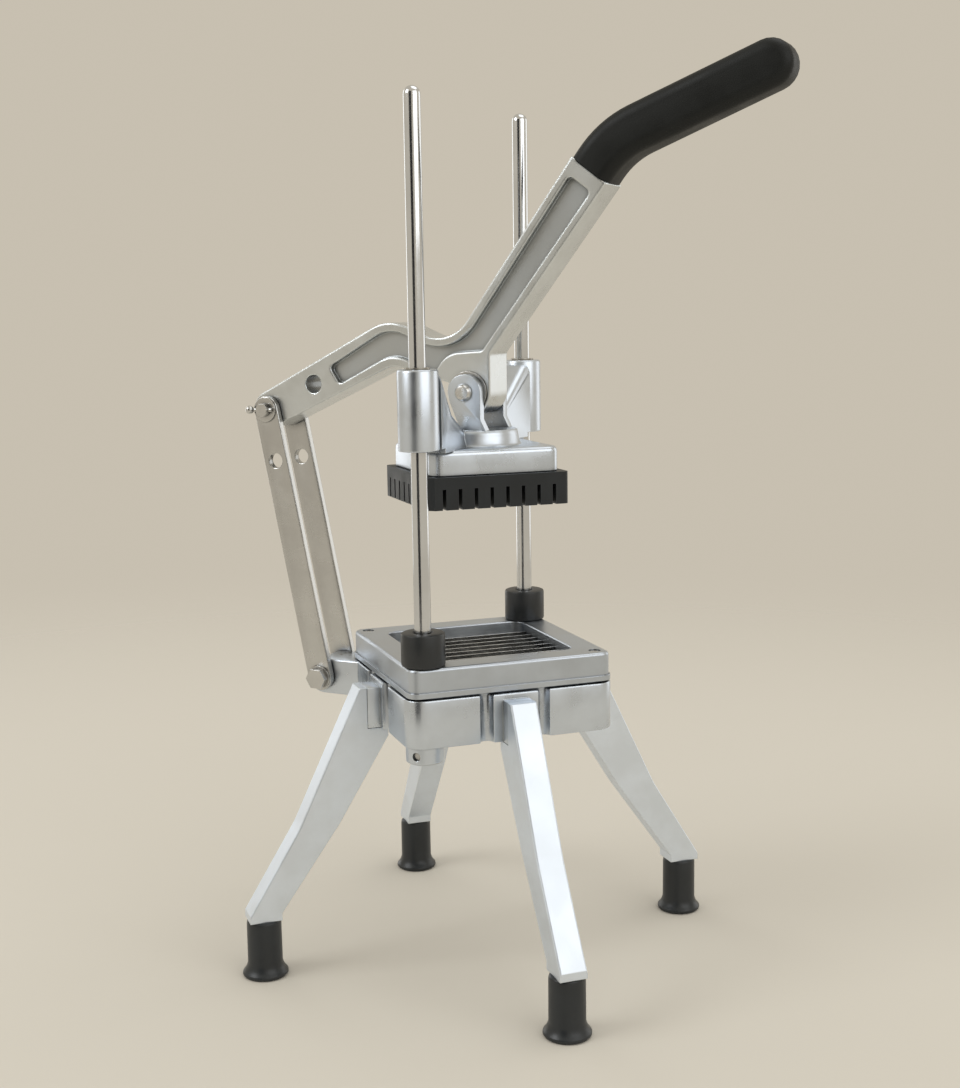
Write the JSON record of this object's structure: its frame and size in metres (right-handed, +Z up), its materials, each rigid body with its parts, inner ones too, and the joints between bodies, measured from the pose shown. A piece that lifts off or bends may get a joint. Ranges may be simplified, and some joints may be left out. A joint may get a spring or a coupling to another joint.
{
  "type": "french fry cutter",
  "caption": "Table-top lever french fry cutter: a hand lever drives a toothed pusher block down two guide rods through a square blade grid on splayed legs.",
  "frame": {"origin": "on the surface the feet stand on, midway between the four feet and below the centre of the blade grid", "axes": "+Z up; +X to the front, where the handle points and the operator stands; +Y to the operator's right-hand guide rod seen from behind the machine, so left is -Y"},
  "size_m": [0.3392, 0.2196, 0.5239],
  "materials": {
    "cast_aluminium": "polished casting, lightly brushed",
    "polished_steel": "ground and polished rod",
    "link_steel": "brushed flat bar",
    "blade_steel": "ground stainless strip",
    "fastener_steel": "plain bright steel",
    "bronze": "plain sintered bush",
    "block_plastic": "moulded black plastic",
    "grip_vinyl": "dipped black vinyl",
    "foot_rubber": "moulded black rubber",
    "bumper_rubber": "moulded black rubber"
  },
  "bodies": {
    "stand": {"base_casting": "cast_aluminium", "leg_front_left": "cast_aluminium", "leg_front_right": "cast_aluminium", "leg_rear_right": "cast_aluminium", "leg_rear_left": "cast_aluminium", "foot_front_left": "foot_rubber", "foot_front_right": "foot_rubber", "foot_rear_right": "foot_rubber", "foot_rear_left": "foot_rubber", "leg_screws": "fastener_steel", "blade_frame": "cast_aluminium", "frame_screws": "fastener_steel", "blades_upper": "blade_steel", "blades_lower": "blade_steel", "guide_rod_left": "polished_steel", "guide_rod_right": "polished_steel", "rod_bumper_left": "bumper_rubber", "rod_bumper_right": "bumper_rubber", "rod_set_screws": "fastener_steel", "link_bolt": "fastener_steel", "link_nut": "fastener_steel", "link_washers": "fastener_steel"},
    "links": {"link_left": "link_steel", "link_right": "link_steel", "rear_pin": "fastener_steel", "rear_pin_washer": "fastener_steel", "rear_pin_clip": "fastener_steel"},
    "lever": {"lever_arm": "cast_aluminium", "handle_grip": "grip_vinyl"},
    "head": {"pusher_head": "cast_aluminium", "pusher_block": "block_plastic", "block_screws": "fastener_steel", "sleeve_bush_left": "bronze", "sleeve_bush_right": "bronze", "pivot_bolt": "fastener_steel", "pivot_nut": "fastener_steel", "thrust_washers": "fastener_steel"}
  },
  "joints": [
    {"name": "head_slide", "type": "slide", "parent": "stand", "child": "head", "axis": [0, 0, 1], "range_m": [-0.1015, 0.02]},
    {"name": "link_swing", "type": "hinge", "parent": "stand", "child": "links", "pos_m": [-0.1015, 0, 0.1615], "axis": [0, -1, 0], "range_deg": [-8.5, 1.8]},
    {"name": "lever_swing", "type": "hinge", "parent": "links", "child": "lever", "pos_m": [-0.1345, 0, 0.328], "axis": [0, -1, 0], "range_deg": [-35.9, 7.1]}
  ],
  "couplings": [
    {"joint": "link_swing", "follows": "head_slide", "rad_per_m": 1.451},
    {"joint": "lever_swing", "follows": "head_slide", "rad_per_m": 6.15}
  ]
}
